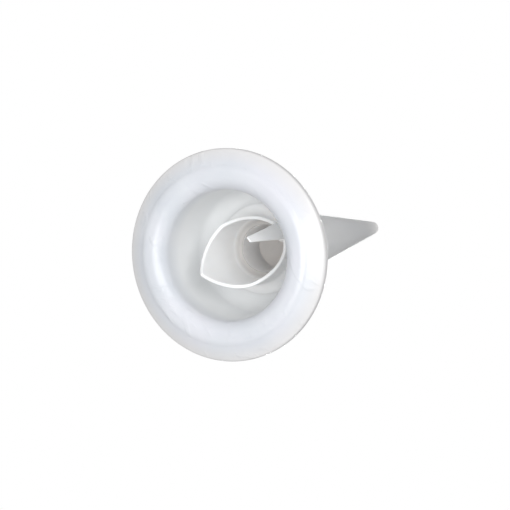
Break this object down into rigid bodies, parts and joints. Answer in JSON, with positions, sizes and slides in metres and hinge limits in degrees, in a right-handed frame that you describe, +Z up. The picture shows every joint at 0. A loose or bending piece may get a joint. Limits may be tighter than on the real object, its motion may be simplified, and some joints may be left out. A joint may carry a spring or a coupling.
{
  "type": "liquor pour spout",
  "caption": "Bottle pour spout: a long white cone nozzle and a beaked inlet tube that turn in a soft milky collar with a wide domed brim.",
  "frame": {"origin": "centre of the collar's crest, the ring on which the part stands, on the spout's axis", "axes": "+Z up the spout from the bottle side to the outlet, +X towards the inlet's tongue, -X towards its beak"},
  "size_m": [0.045, 0.045, 0.098],
  "materials": {
    "soft_collar": "gloss, milky translucent silicone",
    "inlet_plastic": "matt white moulded",
    "nozzle_plastic": "matt off-white moulded",
    "vent_plastic": "matt white drawn tube"
  },
  "bodies": {
    "collar": {"collar": "soft_collar"},
    "spout": {"inlet_tube": "inlet_plastic", "nozzle": "nozzle_plastic", "vent_tube": "vent_plastic"}
  },
  "joints": [
    {"name": "spout_swivel", "type": "hinge", "parent": "collar", "child": "spout", "pos_m": [0, 0, 0.0233], "axis": [0, 0, 1], "continuous": true}
  ]
}
